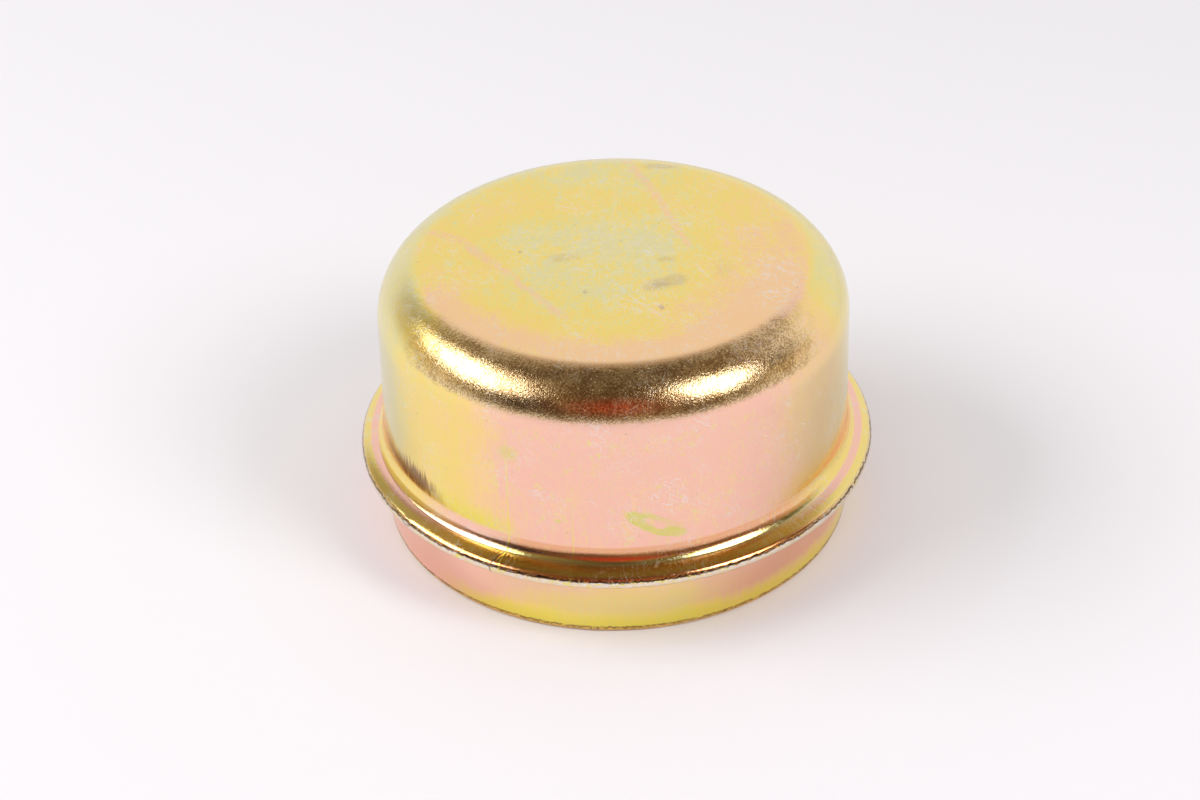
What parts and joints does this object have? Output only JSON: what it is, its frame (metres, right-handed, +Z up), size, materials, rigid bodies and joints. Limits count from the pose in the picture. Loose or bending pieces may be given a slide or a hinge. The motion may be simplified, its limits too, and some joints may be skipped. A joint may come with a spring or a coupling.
{
  "type": "hub grease cap",
  "caption": "Pressed sheet-steel cup with a rounded shoulder, a folded rim and a short open skirt that presses into a wheel hub's bore to keep grease in and dirt out.",
  "frame": {"origin": "on the cap's axis, in the plane of the skirt's foot, which is the lowest face of the part", "axes": "+Z runs up the cap's axis from the open foot to the closed crown; the cap is round, so X and Y are free"},
  "size_m": [0.0554, 0.0554, 0.0302],
  "materials": {
    "yellow_zinc_plate": "bright zinc plate with a yellow iridescent passivate over drawn sheet steel, fine scratches and rubbed edges"
  },
  "bodies": {
    "root": {"grease_cap": "yellow_zinc_plate"}
  },
  "joints": []
}
